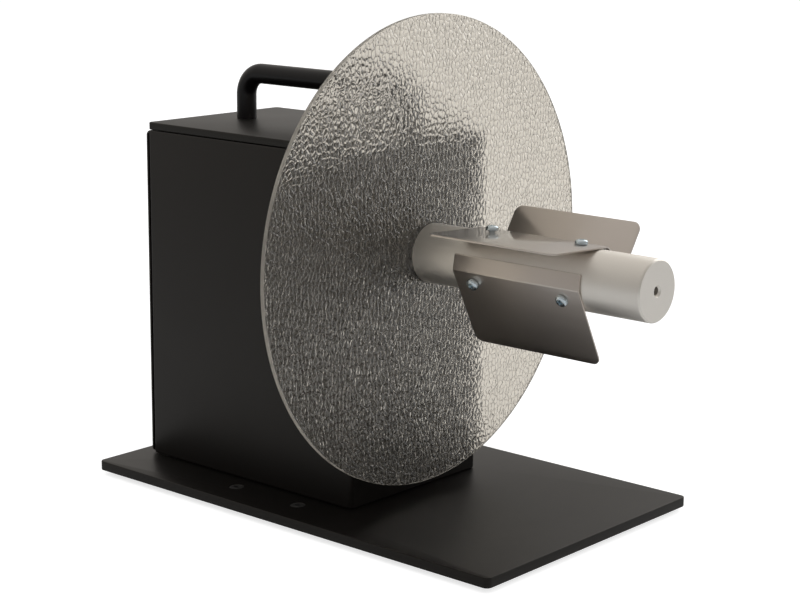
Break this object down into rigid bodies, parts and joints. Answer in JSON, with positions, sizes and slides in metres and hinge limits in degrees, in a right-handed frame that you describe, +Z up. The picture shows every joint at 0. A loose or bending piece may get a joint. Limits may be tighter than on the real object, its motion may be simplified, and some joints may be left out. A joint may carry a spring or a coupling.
{
  "type": "label rewinder",
  "caption": "Hand-cranked bench label rewinder: box on a base plate, gears and crank turning a spindle with a clear side disc and a winged core mandrel.",
  "frame": {"origin": "on the bench surface, under the middle of the object's bounding box", "axes": "+Z up; -Y is the front, the way the mandrel points and the roll goes on; +X is to the right seen from the front; the spindle's axis is parallel to Y at x = 0"},
  "size_m": [0.3, 0.442, 0.3182],
  "materials": {
    "black_paint": "fine matt black powder coat",
    "black_plate": "matt black powder coat",
    "black_hub": "black anodised",
    "black_handle": "satin moulded black",
    "rubber": "matt",
    "turned_aluminium": "fine turned, satin",
    "plain_aluminium": "milled",
    "stainless": "finely brushed stainless sheet",
    "steel": "ground steel",
    "zinc": "clear zinc plate",
    "bronze": "sintered bronze",
    "clear_acrylic": "clear acrylic with a pebbled face"
  },
  "bodies": {
    "base": {"base_plate": "black_plate", "foot_1": "rubber", "foot_2": "rubber", "foot_3": "rubber", "foot_4": "rubber", "accessory_screw_1": "zinc", "accessory_screw_2": "zinc", "housing_shell": "black_paint", "rear_panel": "black_paint", "top_plate": "black_paint", "carry_handle": "black_handle", "handle_bolt_1": "zinc", "handle_bolt_2": "zinc", "housing_screw_1": "zinc", "housing_screw_2": "zinc", "housing_screw_3": "zinc", "housing_screw_4": "zinc", "top_plate_screw_1": "zinc", "top_plate_screw_2": "zinc", "top_plate_screw_3": "zinc", "top_plate_screw_4": "zinc", "rear_panel_screw_1": "zinc", "rear_panel_screw_2": "zinc", "rear_panel_screw_3": "zinc", "rear_panel_screw_4": "zinc", "frame_plate_front": "plain_aluminium", "frame_plate_rear": "plain_aluminium", "frame_spacer_1": "steel", "frame_spacer_2": "steel", "frame_screw_1": "zinc", "frame_screw_2": "zinc", "frame_screw_3": "zinc", "frame_screw_4": "zinc", "spindle_bearing_front": "steel", "spindle_bearing_rear": "steel", "crank_bush_front": "bronze", "crank_bush_rear": "bronze"},
    "spindle": {"spindle_shaft": "steel", "spindle_gear": "steel", "disc_hub": "black_hub", "hub_screw_1": "zinc", "hub_screw_2": "zinc", "hub_screw_3": "zinc", "flange_disc": "clear_acrylic", "mandrel": "turned_aluminium", "core_wing_1": "stainless", "core_wing_2": "stainless", "core_wing_3": "stainless", "wing_screw_1": "zinc", "wing_screw_2": "zinc", "wing_screw_3": "zinc", "wing_screw_4": "zinc", "wing_screw_5": "zinc", "wing_screw_6": "zinc"},
    "crank": {"crank_shaft": "steel", "crank_gear": "steel", "crank_arm": "black_paint", "grip_pin": "steel"},
    "grip": {"crank_grip": "black_handle"}
  },
  "joints": [
    {"name": "spindle_turn", "type": "hinge", "parent": "base", "child": "spindle", "pos_m": [0, 0, 0.1682], "axis": [0, 1, 0], "continuous": true},
    {"name": "crank_turn", "type": "hinge", "parent": "base", "child": "crank", "pos_m": [0.02, 0, 0.12789], "axis": [0, 1, 0], "continuous": true},
    {"name": "grip_turn", "type": "hinge", "parent": "crank", "child": "grip", "pos_m": [0.02, 0.19, 0.05289], "axis": [0, 1, 0], "continuous": true}
  ],
  "couplings": [
    {"joint": "crank_turn", "follows": "spindle_turn", "ratio": -0.5}
  ]
}
